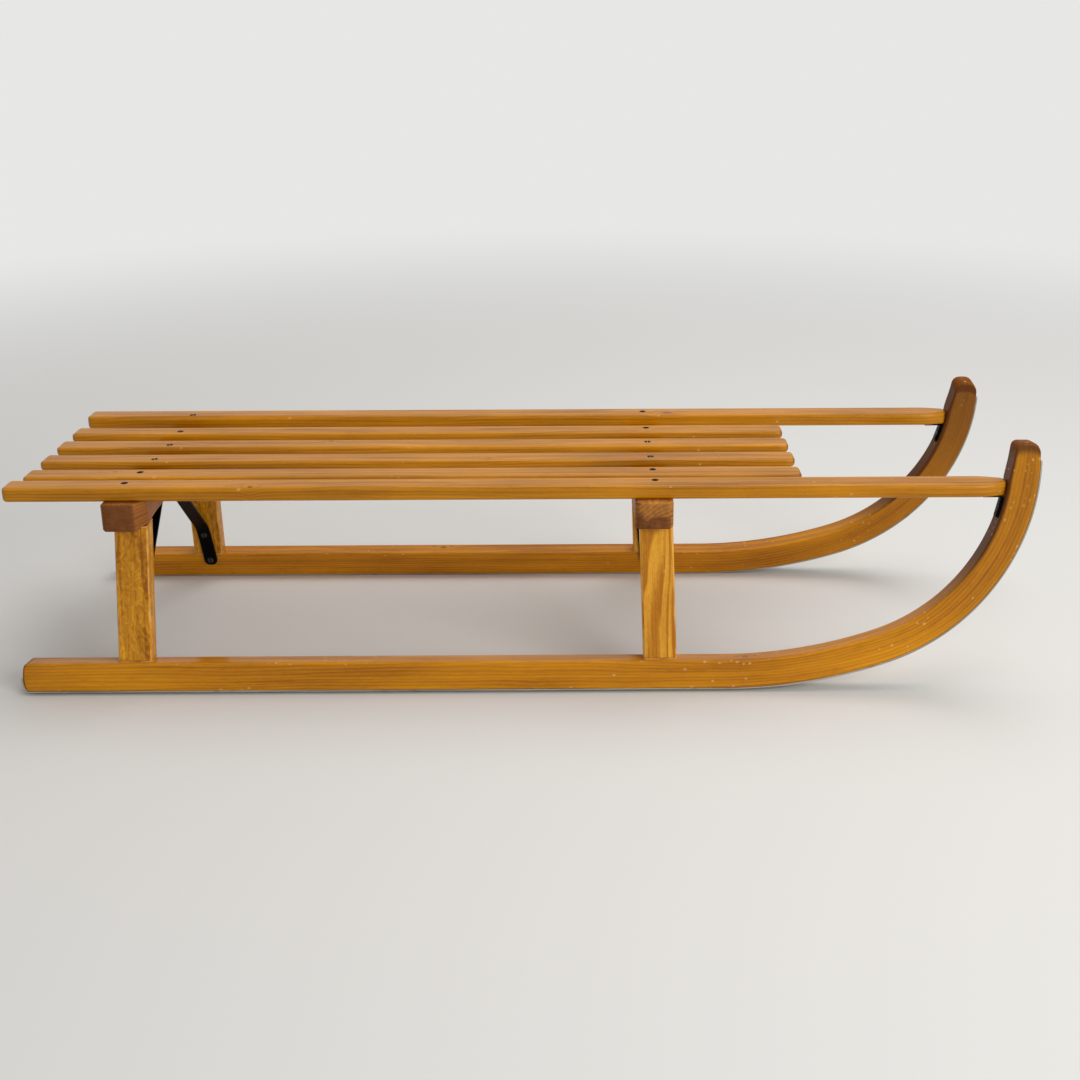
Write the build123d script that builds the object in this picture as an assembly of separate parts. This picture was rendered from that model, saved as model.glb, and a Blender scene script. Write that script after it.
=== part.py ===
from build123d import *
import math
import os

# A slatted wooden sled. X points forward to the horns, Y to the left, Z up, all in millimetres.
# The origin is on the floor, under the middle of the sled. Angles are in degrees.

# The whole sled
sled_length = 1103.0
track_width = 340.0
seat_height = 229.0
lean = 8.0

# The bent runners and their steel shoes
runner_width = 23.5
runner_depth = 31.5
shoe_width = 21.0
shoe_thickness = 2.0
first_bend_radius = 550.0
first_bend_angle = 18.6
second_bend_radius = 233.5
horn_above_bend = 21.0
horn_taper_length = 40.0
horn_taper = 5.0
right_horn_front_round = 12.0
right_horn_back_round = 7.0
left_horn_front_round = 14.0
left_horn_back_round = 10.0
tail_top_round = 13.0
runner_tail_inset = 7.0
shoe_tail_radius = 17.0
shoe_above_bend = 2.0
runner_edge_round = 2.5

# The seat of two side slats and four middle slats
side_slat_width = 30.0
side_slat_depth = 16.0
side_slat_round = 5.0
side_slat_corner_round = 8.0
side_slat_nose_length = 24.0
side_slat_nose_width = 12.0
side_slat_nose_round = 5.5
side_slat_shoulder_round = 40.0
left_side_slat_inset = 4.0
over_side_slats = 284.0
middle_slat_count = 4
middle_slat_width = 30.0
middle_slat_depth = 10.0
middle_slat_round = 4.0
middle_slat_corner_round = 6.0
middle_slats_past_beam = 165.5
middle_slat_inset = 3.0
horn_gap = 0.3

# The two trestles that carry the seat
rear_beam_from_tail = 127.0
front_beam_behind_bend = 77.0
beam_width = 39.5
beam_depth = 30.0
beam_length = 302.0
beam_end_bevel = 4.0
beam_edge_round = 1.5
leg_ahead_of_beam = 5.5
leg_width = 36.0
leg_thickness = 19.5
leg_edge_bevel = 2.0
tenon_width = 25.0
tenon_thickness = 8.0
tenon_depth = 15.0
tenon_clearance = 0.2

# The flat iron stays under the beams
stay_width = 17.5
stay_thickness = 3.5
stay_foot_height = 20.0
stay_foot_round = 7.0
stay_bend_height = 73.0
stay_bend_radius = 25.0
stay_crown_half_length = 14.0
stay_crown_radius = 25.0

# Places that follow from the sizes above
tail_x = -sled_length / 2
runner_tail_x = tail_x + runner_tail_inset
sine = math.sin(math.radians(lean))
cosine = math.cos(math.radians(lean))
shoe_inner_edge = (runner_width + shoe_width) / 2
sole_lift = shoe_inner_edge * sine
runner_top = shoe_thickness + runner_depth
beam_top = seat_height - side_slat_depth
beam_bottom = beam_top - beam_depth
first_turn = math.radians(first_bend_angle)
bend_x = (
    sled_length / 2
    - second_bend_radius
    - (first_bend_radius - second_bend_radius) * math.sin(first_turn)
)
second_centre_x = sled_length / 2 - second_bend_radius
second_centre_y = first_bend_radius - (first_bend_radius - second_bend_radius) * math.cos(first_turn)
horn_height = second_centre_y + horn_above_bend
rear_beam_x = tail_x + rear_beam_from_tail
front_beam_x = bend_x - front_beam_behind_bend
rear_leg_x = rear_beam_x + leg_ahead_of_beam
front_leg_x = front_beam_x + leg_ahead_of_beam

# The outer side of the right-hand runner: local X is forward, local Y is up along the lean
right_side = Plane(
    origin=(0, -track_width / 2, sole_lift),
    x_dir=(1, 0, 0),
    z_dir=(0, -cosine, sine),
)


def bent_lines(rise, start_x, end_y):
    """A line that runs at an even height over the sole: flat, two bends, then up the horn."""
    small = second_bend_radius - rise
    large = first_bend_radius - rise
    horn_x = sled_length / 2 - rise
    second_sweep = 90 - first_bend_angle
    return [
        Line((start_x, rise), (bend_x, rise)),
        CenterArc((bend_x, first_bend_radius), large, -90, first_bend_angle),
        CenterArc((second_centre_x, second_centre_y), small, first_bend_angle - 90, second_sweep),
        Line((horn_x, second_centre_y), (horn_x, end_y)),
    ]


def export(shape, name):
    export_step(shape, f"parts/{name}.step")


def export_pair(right, name, left=None):
    """Writes a right-hand piece and the mirror image on the left, of it or of a second shape."""
    export(right, f"{name}_right")
    export(mirror(left or right, about=Plane.XZ), f"{name}_left")


def make_tenon(leg_x, clearance):
    """A flat tongue that runs through the middle of a leg and out of both its ends."""
    low = runner_top - tenon_depth - clearance
    high_cut = beam_bottom + tenon_depth + clearance
    middle = runner_width - leg_thickness / 2
    tongue = Box(
        tenon_width + 2 * clearance,
        seat_height,
        tenon_thickness + 2 * clearance,
        align=(Align.CENTER, Align.MIN, Align.CENTER),
    )
    tongue = right_side * (Pos(leg_x, low, -middle) * tongue)
    above = Pos(leg_x, 0, high_cut) * Box(
        sled_length,
        track_width * 2,
        seat_height,
        align=(Align.CENTER, Align.CENTER, Align.MIN),
    )
    return tongue - above


def make_leg(leg_x):
    """A splayed leg whose inner face is flush with the runner's, tenoned at both ends."""
    post = Box(
        leg_width,
        seat_height,
        leg_thickness,
        align=(Align.CENTER, Align.MIN, Align.CENTER),
    )
    post = chamfer(post.edges().filter_by(Axis.Y), leg_edge_bevel)
    middle = runner_width - leg_thickness / 2
    post = right_side * (Pos(leg_x, runner_top, -middle) * post)
    above = Pos(leg_x, 0, beam_bottom) * Box(
        sled_length,
        track_width * 2,
        seat_height,
        align=(Align.CENTER, Align.CENTER, Align.MIN),
    )
    return (post - above) + make_tenon(leg_x, 0)


def corner(face, x, y):
    """The corner of a flat outline that lies nearest to a point."""
    return face.vertices().sort_by_distance((x, y, 0))[0]


def band(low_rise, high_rise, start_x, end_y):
    """The flat outline between two heights over the sole."""
    low = bent_lines(low_rise, start_x, end_y)
    high = bent_lines(high_rise, start_x, end_y)
    tail = Line(low[0] @ 0, high[0] @ 0)
    tip = Line(low[-1] @ 1, high[-1] @ 1)
    return make_face(low + high + [tail, tip])


def make_runner(leg_places, horn_front_round, horn_back_round):
    """A bent runner with a tapered horn, and a mortise in its top for each leg."""
    wood_tail = runner_tail_x + shoe_thickness
    horn_front = sled_length / 2 - shoe_thickness
    horn_back = sled_length / 2 - runner_top
    face = band(shoe_thickness, runner_top, wood_tail, horn_height)
    taper_foot = (horn_back - horn_taper, horn_height - horn_taper_length)
    back_radius = second_bend_radius - runner_top
    foot_drop = second_centre_y - taper_foot[1]
    foot_x = second_centre_x + math.sqrt(back_radius**2 - foot_drop**2)
    shaving = Polyline(
        taper_foot,
        (foot_x, taper_foot[1]),
        (horn_back + horn_taper, horn_height),
        (taper_foot[0], horn_height),
        close=True,
    )
    face = face - make_face(shaving)
    face = fillet(corner(face, wood_tail, shoe_thickness), shoe_tail_radius - shoe_thickness)
    face = fillet(corner(face, wood_tail, runner_top), tail_top_round)
    face = fillet(corner(face, horn_front, horn_height), horn_front_round)
    face = fillet(corner(face, horn_back + horn_taper, horn_height), horn_back_round)
    wood = extrude(face, amount=-runner_width)
    wood = fillet(wood.faces().filter_by(Axis.Z).edges(), runner_edge_round)
    wood = right_side * wood
    for leg_x in leg_places:
        wood = wood - make_tenon(leg_x, tenon_clearance)
    return wood


def make_shoe():
    """The steel strip under a runner, turned up round its tail and nailed up to the horn."""
    end_y = second_centre_y + shoe_above_bend
    inner_tail_x = runner_tail_x + shoe_thickness
    tail_end = Line((runner_tail_x, shoe_tail_radius), (inner_tail_x, shoe_tail_radius))
    flat_start = runner_tail_x + shoe_tail_radius
    low = bent_lines(0, flat_start, end_y)
    high = bent_lines(shoe_thickness, flat_start, end_y)
    centre = (flat_start, shoe_tail_radius)
    outer_turn = CenterArc(centre, shoe_tail_radius, 180, 90)
    inner_turn = CenterArc(centre, shoe_tail_radius - shoe_thickness, 180, 90)
    tip = Line(low[-1] @ 1, high[-1] @ 1)
    face = make_face(low + high + [outer_turn, inner_turn, tail_end, tip])
    inset = (runner_width - shoe_width) / 2
    return right_side * (Pos(0, 0, -inset) * extrude(face, amount=-shoe_width))


def make_beam(beam_x, leg_x):
    """A cross beam with bevelled ends, and a mortise in its underside for each leg."""
    block = Box(beam_width, beam_length, beam_depth)
    block = chamfer(block.edges().filter_by(Axis.Z), beam_end_bevel)
    block = fillet(block.edges().filter_by(Axis.Y).group_by(Axis.X)[0], beam_edge_round)
    block = fillet(block.edges().filter_by(Axis.Y).group_by(Axis.X)[-1], beam_edge_round)
    block = Pos(beam_x, 0, beam_top - beam_depth / 2) * block
    tongue = make_tenon(leg_x, tenon_clearance)
    return block - tongue - mirror(tongue, about=Plane.XZ)


def inner_side(height):
    """The point on the inner sides of runner and leg at a height along the lean, as (Y, Z)."""
    y = -track_width / 2 + height * sine + runner_width * cosine
    z = sole_lift + height * cosine - runner_width * sine
    return y, z


def make_stay(leg_x):
    """A flat iron bent up from one runner to the middle of the beam and down to the other."""
    foot = inner_side(stay_foot_height)
    knee = inner_side(stay_bend_height)
    crown = (-stay_crown_half_length, beam_bottom)
    right_half = [foot, knee, crown]
    left_half = [(-y, z) for y, z in reversed(right_half)]
    radii = [stay_bend_radius, stay_crown_radius, stay_crown_radius, stay_bend_radius]
    back = FilletPolyline(*right_half, *left_half, radius=radii)
    outline = offset(back, amount=stay_thickness, side=Side.RIGHT, closed=True)
    bar = extrude(Plane.YZ * make_face(outline.edges()), amount=stay_width / 2, both=True)
    feet = bar.faces().sort_by(Axis.Z)[:2]
    foot_corners = [edge for face in feet for edge in face.edges() if edge.length < stay_width / 2]
    bar = fillet(foot_corners, stay_foot_round)
    return Pos(leg_x, 0, 0) * bar


def make_slat(outline, depth, long_round):
    """A slat of a flat outline, rounded over along its top and bottom, whose top is at Z = 0."""
    slat = extrude(outline, amount=-depth)
    return fillet(slat.faces().filter_by(Axis.Z).edges(), long_round)


def side_slat_outline(length):
    """A long strip with rounded rear corners, narrowed to a nose at the front."""
    half = side_slat_width / 2
    tip = side_slat_nose_width / 2
    shoulder = length - side_slat_nose_length
    face = make_face(
        Polyline(
            (0, half),
            (0, -half),
            (shoulder, -half),
            (length, -tip),
            (length, tip),
            (shoulder, half),
            close=True,
        )
    )
    for side in (-1, 1):
        face = fillet(corner(face, 0, side * half), side_slat_corner_round)
        face = fillet(corner(face, shoulder, side * half), side_slat_shoulder_round)
        face = fillet(corner(face, length, side * tip), side_slat_nose_round)
    return face


def make_side_slat(inset):
    """A side slat that butts against the back of the horn, square to its curve."""
    middle_y = -(over_side_slats - side_slat_width) / 2
    middle_z = seat_height - side_slat_depth / 2
    height = (middle_y + track_width / 2) * sine + (middle_z - sole_lift) * cosine
    back_radius = second_bend_radius - runner_top
    drop = second_centre_y - height
    slope = math.asin(drop / back_radius)
    horn_back = second_centre_x + math.sqrt(back_radius**2 - drop**2)
    tip_x = horn_back + side_slat_depth / 2 * math.tan(slope)
    start_x = tail_x + inset
    slat = make_slat(side_slat_outline(tip_x - start_x), side_slat_depth, side_slat_round)
    slat = Pos(start_x, middle_y, seat_height) * slat
    horn = Box(
        sled_length,
        seat_height,
        track_width,
        align=(Align.MIN, Align.CENTER, Align.CENTER),
    )
    turn = Rot(0, 0, -math.degrees(slope))
    horn = Pos(horn_back, height, 0) * turn * Pos(-horn_gap, 0, 0) * horn
    return slat - right_side * horn


os.makedirs("parts", exist_ok=True)
leg_places = [rear_leg_x, front_leg_x]
export_pair(
    make_runner(leg_places, right_horn_front_round, right_horn_back_round),
    "runner",
    make_runner(leg_places, left_horn_front_round, left_horn_back_round),
)
export_pair(make_shoe(), "runner_shoe")
export_pair(make_leg(rear_leg_x), "rear_leg")
export_pair(make_leg(front_leg_x), "front_leg")
export(make_beam(rear_beam_x, rear_leg_x), "rear_beam")
export(make_beam(front_beam_x, front_leg_x), "front_beam")
export(make_stay(rear_leg_x), "rear_stay")
export(make_stay(front_leg_x), "front_stay")
export_pair(make_side_slat(0), "side_slat", make_side_slat(left_side_slat_inset))

slat_spacing = (over_side_slats - side_slat_width) / (middle_slat_count + 1)
middle_slat_tail_x = tail_x + middle_slat_inset
middle_slat_length = front_beam_x + middle_slats_past_beam - middle_slat_tail_x
middle_slat = make_slat(
    RectangleRounded(
        middle_slat_length,
        middle_slat_width,
        middle_slat_corner_round,
        align=(Align.MIN, Align.CENTER),
    ),
    middle_slat_depth,
    middle_slat_round,
)
middle_slat_top = beam_top + middle_slat_depth
for number in range(1, middle_slat_count + 1):
    slat_y = (number - (middle_slat_count + 1) / 2) * slat_spacing
    export(Pos(middle_slat_tail_x, slat_y, middle_slat_top) * middle_slat, f"middle_slat_{number}")
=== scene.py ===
import math

import bmesh
import bpy
from mathutils import Matrix, Vector


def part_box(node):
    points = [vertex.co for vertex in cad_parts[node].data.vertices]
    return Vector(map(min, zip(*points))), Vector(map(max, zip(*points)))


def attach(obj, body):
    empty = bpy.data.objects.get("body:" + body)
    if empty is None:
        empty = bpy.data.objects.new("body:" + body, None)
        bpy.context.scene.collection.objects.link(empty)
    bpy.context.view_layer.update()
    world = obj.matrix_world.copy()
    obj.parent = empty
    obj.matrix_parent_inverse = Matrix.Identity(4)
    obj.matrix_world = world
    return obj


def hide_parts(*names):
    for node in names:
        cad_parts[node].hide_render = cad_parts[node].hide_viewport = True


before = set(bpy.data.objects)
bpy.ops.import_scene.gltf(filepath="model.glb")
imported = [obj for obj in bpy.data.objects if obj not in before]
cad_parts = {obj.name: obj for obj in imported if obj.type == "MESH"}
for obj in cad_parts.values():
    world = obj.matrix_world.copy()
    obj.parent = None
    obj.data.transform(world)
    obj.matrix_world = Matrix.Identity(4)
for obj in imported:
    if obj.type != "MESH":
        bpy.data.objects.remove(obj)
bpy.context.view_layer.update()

# The studio. The camera stands where the photograph was taken from, to the right of the sled and
# above it. The floor is plain and pale, and large soft lamps hang over the sled and in front of it.
MM = 0.001
QUARTER_TURN = math.pi / 2
PICTURE = 1080
FOCAL_PIXELS = 1362.25
AXIS_PIXEL = (587.67, 419.98)
SENSOR_WIDTH = 36.0
CAMERA_PLACE = Vector((65.1, -1493.2, 726.1)) * MM
CAMERA_TURN = math.radians(-0.22)
CAMERA_PITCH = math.radians(17.41)
CAMERA_ROLL = math.radians(-0.21)
FLOOR_COLOUR = (0.72, 0.72, 0.71)
FLOOR_ROUGHNESS = 0.75
FLOOR_HALF = 6.0
BACKGROUND = (0.80, 0.80, 0.79, 1)
FADE = (0.8, 3.0)
FILL_COLOUR = (1.0, 0.985, 0.96, 1)
FILL_STRENGTH = 0.36
LAMP_COLOUR = (1.0, 0.98, 0.95)
LAMPS = {
    "overhead_lamp": {"place": (0.6, 0.5, 2.6), "target": (0, 0, 0.1), "size": 2.2, "power": 43},
    "front_lamp": {"place": (1.8, -1.9, 1.3), "target": (0.35, 0, 0.1), "size": 1.5, "power": 38},
}
SCALAR = "ShaderNodeMath"
VECTOR = "ShaderNodeVectorMath"
RANGE_VECTORS = 6

scene = bpy.context.scene
scene.view_settings.view_transform = "Standard"


def placed(name, data):
    """Puts a new object into the scene."""
    made = bpy.data.objects.new(name, data)
    scene.collection.objects.link(made)
    return made


camera = placed("camera", bpy.data.cameras.new("camera"))
scene.camera = camera
camera.data.sensor_width = SENSOR_WIDTH
camera.data.lens = FOCAL_PIXELS / PICTURE * SENSOR_WIDTH
camera.data.shift_x = 0.5 - AXIS_PIXEL[0] / PICTURE
camera.data.shift_y = AXIS_PIXEL[1] / PICTURE - 0.5
camera.matrix_world = (
    Matrix.Translation(CAMERA_PLACE)
    @ Matrix.Rotation(CAMERA_TURN, 4, "Z")
    @ Matrix.Rotation(QUARTER_TURN - CAMERA_PITCH, 4, "X")
    @ Matrix.Rotation(CAMERA_ROLL, 4, "Z")
)


def feed(made, inputs):
    """Sets a node's sockets, by name or number, to a value or to what another socket gives."""
    for key, value in inputs.items():
        value = value.socket if isinstance(value, Sum) else value
        if isinstance(value, bpy.types.NodeSocket):
            made.id_data.links.new(value, made.inputs[key])
        else:
            made.inputs[key].default_value = value


def node(tree, kind, inputs=None, **settings):
    """Adds a node with its settings and inputs to a tree."""
    made = tree.nodes.new(kind)
    for name, value in settings.items():
        setattr(made, name, value)
    feed(made, inputs or {})
    return made


class Sum:
    """A socket of a node tree that can be added and multiplied like a number or a vector."""

    def __init__(self, socket, kind=SCALAR):
        self.socket = socket
        self.kind = kind
        self.tree = socket.id_data

    def do(self, operation, *others):
        values = [self]
        for other in others:
            plain = isinstance(other, (int, float)) and self.kind == VECTOR
            values.append((other,) * 3 if plain else other)
        made = node(self.tree, self.kind, dict(enumerate(values)), operation=operation)
        return Sum(made.outputs[0], self.kind)

    def __add__(self, other):
        return self.do("ADD", other)

    def __sub__(self, other):
        return self.do("SUBTRACT", other)

    def __mul__(self, other):
        return self.do("MULTIPLY", other)

    def __truediv__(self, other):
        return self.do("DIVIDE", other)

    def __neg__(self):
        return self.do("MULTIPLY", -1.0)

    def __rsub__(self, other):
        return -self + other

    __radd__ = __add__
    __rmul__ = __mul__

    def between(self, low, high):
        return self.do("MAXIMUM", low).do("MINIMUM", high)

    def length(self):
        made = node(self.tree, VECTOR, {0: self}, operation="LENGTH")
        return Sum(made.outputs["Value"])

    def parts(self):
        """The X, Y and Z of a vector."""
        return [Sum(output) for output in node(self.tree, "ShaderNodeSeparateXYZ", {0: self}).outputs]


def joined(tree, x, y, z):
    """A vector from three numbers or sums."""
    return Sum(node(tree, "ShaderNodeCombineXYZ", {0: x, 1: y, 2: z}).outputs[0], VECTOR)


def remap(value, low, high, new_low=0.0, new_high=1.0, smooth=False):
    """Carries one range over to another, and stays within it."""
    vector = value.kind == VECTOR
    ends = [low, high, new_low, new_high]
    if vector:
        ends = [(end,) * 3 if isinstance(end, (int, float)) else end for end in ends]
    made = node(value.tree, "ShaderNodeMapRange",
                dict(enumerate([value, *ends], start=RANGE_VECTORS if vector else 0)),
                data_type="FLOAT_VECTOR" if vector else "FLOAT",
                interpolation_type="SMOOTHSTEP" if smooth else "LINEAR")
    return Sum(made.outputs[1 if vector else 0], value.kind)


def falling(value, low, high):
    """One below the low end, none above the high end, and a soft slope between them."""
    return remap(value, low, high, 1.0, 0.0, smooth=True)


def seen_as_background(tree):
    """One where a ray comes straight from the camera, or by way of a mirror or a glass."""
    rays = node(tree, "ShaderNodeLightPath").outputs
    either = Sum(rays["Is Camera Ray"]).do("MAXIMUM", rays["Is Glossy Ray"])
    return either.do("MAXIMUM", rays["Is Transmission Ray"])


world = bpy.data.worlds.new("studio")
scene.world = world
world.use_nodes = True
sky = world.node_tree
sky.nodes.clear()
fill = node(sky, "ShaderNodeBackground", {"Color": FILL_COLOUR, "Strength": FILL_STRENGTH})
backdrop = node(sky, "ShaderNodeBackground", {"Color": BACKGROUND, "Strength": 1.0})
chosen = node(sky, "ShaderNodeMixShader",
              {0: seen_as_background(sky), 1: fill.outputs[0], 2: backdrop.outputs[0]})
node(sky, "ShaderNodeOutputWorld", {"Surface": chosen.outputs[0]})

for name, sizes in LAMPS.items():
    data = bpy.data.lights.new(name, "AREA")
    data.shape = "SQUARE"
    data.size = sizes["size"]
    data.energy = sizes["power"]
    data.color = LAMP_COLOUR
    lamp = placed(name, data)
    lamp.location = sizes["place"]
    facing = Vector(sizes["target"]) - Vector(sizes["place"])
    lamp.rotation_euler = facing.to_track_quat("-Z", "Y").to_euler()


def empty_material(name, colour):
    """A material with a Principled shader and nothing else, and its viewport colour."""
    material = bpy.data.materials.new(name)
    material.use_nodes = True
    material.node_tree.nodes.clear()
    material.diffuse_color = (*colour, 1)
    shader = node(material.node_tree, "ShaderNodeBsdfPrincipled")
    node(material.node_tree, "ShaderNodeOutputMaterial", {"Surface": shader.outputs[0]})
    return material, shader


def fade_into_background(tree, shader):
    """Far from the sled the floor takes the colour of the background, so that no edge shows."""
    place = Sum(node(tree, "ShaderNodeTexCoord").outputs["Object"], VECTOR)
    share = remap(place.length(), *FADE, smooth=True) * seen_as_background(tree)
    glow = node(tree, "ShaderNodeEmission", {"Color": BACKGROUND, "Strength": 1.0})
    both = node(tree, "ShaderNodeMixShader", {0: share, 1: shader.outputs[0], 2: glow.outputs[0]})
    exit_node = next(found for found in tree.nodes if found.type == "OUTPUT_MATERIAL")
    feed(exit_node, {"Surface": both.outputs[0]})


floor_material, floor_shader = empty_material("floor_paint", FLOOR_COLOUR)
feed(floor_shader, {"Base Color": (*FLOOR_COLOUR, 1), "Roughness": FLOOR_ROUGHNESS})
fade_into_background(floor_material.node_tree, floor_shader)
floor_shape = bmesh.new()
bmesh.ops.create_grid(floor_shape, x_segments=1, y_segments=1, size=FLOOR_HALF)
floor = placed("floor", bpy.data.meshes.new("floor"))
floor_shape.to_mesh(floor.data)
floor_shape.free()
floor.data.materials.append(floor_material)

# How the pieces are shaped. Each is first a planed bar on the bench, with eased edges. Then it is
# cut, bent and laid in its place, and keeps where it was on the bench, so that its grain follows it.
BAR_VECTORS = ["Size", "Edge Round", "Heart", "Knot"]
BAR_COUNTS = ["Cuts Along", "Cuts Across", "Round Steps"]
NO_KNOT = (9.0, 9.0, 1 * MM)
SHARP_ANGLE = math.radians(35)


def empty_tree(name, kind, inputs, outputs):
    """A node tree whose inputs and outputs are listed by kind. Gives it, its inputs and its output."""
    tree = bpy.data.node_groups.new(name, kind)
    for in_out, sockets in (("INPUT", inputs), ("OUTPUT", outputs)):
        for socket_kind, labels in sockets.items():
            for label in labels:
                tree.interface.new_socket(label, in_out=in_out, socket_type="NodeSocket" + socket_kind)
    given = {socket.name: Sum(socket, VECTOR if socket.type == "VECTOR" else SCALAR)
             for socket in node(tree, "NodeGroupInput").outputs if socket.name}
    return tree, given, node(tree, "NodeGroupOutput")


def geometry_tree(name, inputs):
    """A tree that turns one shape into another."""
    return empty_tree(name, "GeometryNodeTree", {"Geometry": ["Geometry"], **inputs},
                      {"Geometry": ["Geometry"]})


def piece_tree(name, floats, vectors=(), counts=()):
    """A tree for a piece that is made from a bar."""
    return geometry_tree(name, {
        "Vector": [*BAR_VECTORS, *vectors], "Int": [*BAR_COUNTS, *counts], "Float": floats,
        "Material": ["Material"],
    })


def position(tree):
    """Where each point of a shape is."""
    return Sum(node(tree, "GeometryNodeInputPosition").outputs[0], VECTOR)


def build_bar_tree():
    """A planed bar with eased edges, and on its points where they are on the bench."""
    tree, given, exit_node = geometry_tree("planed_bar", {"Vector": BAR_VECTORS, "Int": BAR_COUNTS})
    steps, ease = given["Round Steps"], given["Edge Round"]
    flats = joined(tree, given["Cuts Along"], given["Cuts Across"], given["Cuts Across"])
    spans = flats + steps * 2
    count_x, count_y, count_z = (spans + 1).parts()
    block = node(tree, "GeometryNodeMeshCube", {
        "Size": (2, 2, 2), "Vertices X": count_x, "Vertices Y": count_y, "Vertices Z": count_z})
    place = position(tree)
    half = given["Size"] / 2
    core = half - ease
    step = (place + 1) / 2 * spans
    flat_end = flats + steps
    spread = remap(step, steps, flat_end, -QUARTER_TURN, QUARTER_TURN).do("SINE") * core
    corner = spread + remap(step, 0, steps, -ease, 0) + remap(step, flat_end, spans, 0, ease)
    inside = corner.between(-core, core)
    eased = inside + ((corner - inside) / ease).do("NORMALIZE") * ease
    shape = node(tree, "GeometryNodeSetPosition", {"Geometry": block.outputs[0], "Position": eased})
    kept = {"bench": place, "half_size": half, "heart": given["Heart"], "knot": given["Knot"]}
    for label, value in kept.items():
        shape = node(tree, "GeometryNodeStoreNamedAttribute",
                     {"Geometry": shape.outputs[0], "Name": label, "Value": value},
                     data_type="FLOAT_VECTOR")
    smooth = node(tree, "GeometryNodeSetShadeSmooth", {"Geometry": shape.outputs[0]})
    feed(exit_node, {0: smooth.outputs[0]})
    return tree


bar_tree = build_bar_tree()


def add_bar(tree, given):
    """Planes a bar of the sizes that a tree is given."""
    sizes = {label: given[label] for label in (*BAR_VECTORS, *BAR_COUNTS)}
    return node(tree, "GeometryNodeGroup", sizes, node_tree=bar_tree).outputs[0]


def bent_line(tree, given, radius):
    """The line that a flat iron is laid along, with its corners rounded."""
    line = node(tree, "GeometryNodeMeshToCurve", {"Mesh": given["Geometry"]})
    bent = node(tree, "GeometryNodeFilletCurve", {
        "Curve": line.outputs[0], "Radius": radius, "Count": given["Bend Steps"],
        "Limit Radius": True}, mode="POLY")
    return bent.outputs[0]


def finish_piece(given, exit_node, geometry, place=None):
    """Moves the points of a shape to their places, gives it its finish and puts it out."""
    tree = exit_node.id_data
    if place:
        moved = node(tree, "GeometryNodeSetPosition", {"Geometry": geometry, "Position": place})
        geometry = moved.outputs[0]
    real = node(tree, "GeometryNodeRealizeInstances", {"Geometry": geometry})
    finished = node(tree, "GeometryNodeSetMaterial",
                    {"Geometry": real.outputs[0], "Material": given["Material"]})
    feed(exit_node, {0: finished.outputs[0]})
    return tree


def corner_cut(from_edge, radius):
    """How far a rounded corner stands back from a square one, at a distance from the edge."""
    reach = (radius - from_edge).do("MAXIMUM", 0.0)
    return radius - (radius * radius - reach * reach).do("MAXIMUM", 0.0).do("SQRT")


def made_by(tree, name, values, place=Matrix(), start=None):
    """Runs a geometry tree with the given sizes and keeps the plain mesh that it makes."""
    piece = placed(name, start or bpy.data.meshes.new(name + "_blank"))
    modifier = piece.modifiers.new("making", "NODES")
    modifier.node_group = tree
    for socket in tree.interface.items_tree:
        if socket.in_out == "INPUT" and socket.name in values:
            modifier[socket.identifier] = values[socket.name]
    seen = bpy.context.evaluated_depsgraph_get()
    mesh = bpy.data.meshes.new_from_object(piece.evaluated_get(seen), preserve_all_data_layers=True,
                                           depsgraph=seen)
    piece.modifiers.clear()
    piece.data = mesh
    mesh.name = name
    mesh.transform(place)
    return piece


def dress(piece, slot, *nodes):
    """The piece moves with the sled and stands for its nodes, which are hidden. Its slot is not used."""
    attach(piece, "root")
    for name in nodes:
        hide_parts(name)


# The wood. Its figure is made of soft noises, each with so many blotches in a metre along the grain
# and across it, a detail and a curl. Varnish covers it, except on sawn ends, chips and worn edges.
# The pale colour of the edges is partly wear and partly a painted highlight.
DRIFT, DRIFT_DETAIL = (2.6, 16.0, 16.0), 3.0
FIGURE = {
    "streaks": ((2.2, 170.0, 170.0), 4.0), "fibres": ((9.0, 1300.0, 1300.0), 3.0),
    "patches": ((6.0, 30.0, 30.0), 3.0), "mottle": ((75.0, 120.0, 120.0), 3.0, 2.2),
    "flecks": ((210.0, 420.0, 420.0), 2.0, 1.0), "pores": ((60.0, 2400.0, 2400.0), 1.0),
}
SURFACE = {
    "rough": ((60.0, 90.0, 90.0), 4.0), "sawn": ((40.0, 45.0, 900.0), 2.0),
    "chipped": ((9.0, 26.0, 26.0), 2.0),
}
BOARD_GRAIN = (9.0, 9.0, 9.0)
SWAY = (0.0, 0.022, 0.022)
KNOT_STRETCH, KNOT_CORE, KNOT_SWIRL, SWIRL_PUSH = 0.6, (0.25, 1.0), (0.6, 4.0), 4 * MM
LATE_START, LATE_END = 0.25, 0.9
PORE_RANGE, LATE_PORES = (0.60, 0.72), 0.7
RING_FLOOR, BASE_TONE = 0.3, 0.32
STREAK_TONE, FIBRE_TONE, PATCH_TONE, BOARD_TONE, KNOT_TONE = 0.9, 0.5, 1.3, 0.45, 1.3
MOTTLE_TONE, FLECK_TONE, MOTTLE_MIDDLE = 3.6, 1.2, 2.3
CLIMB_WANDER, CLIMB_REACH, CLIMB_STAIN = 0.08, 0.34, 0.4
CROWN_WANDER, CROWN_RANGE, CROWN_STAIN = 0.012, (0.004, 0.014), 0.5
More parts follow.
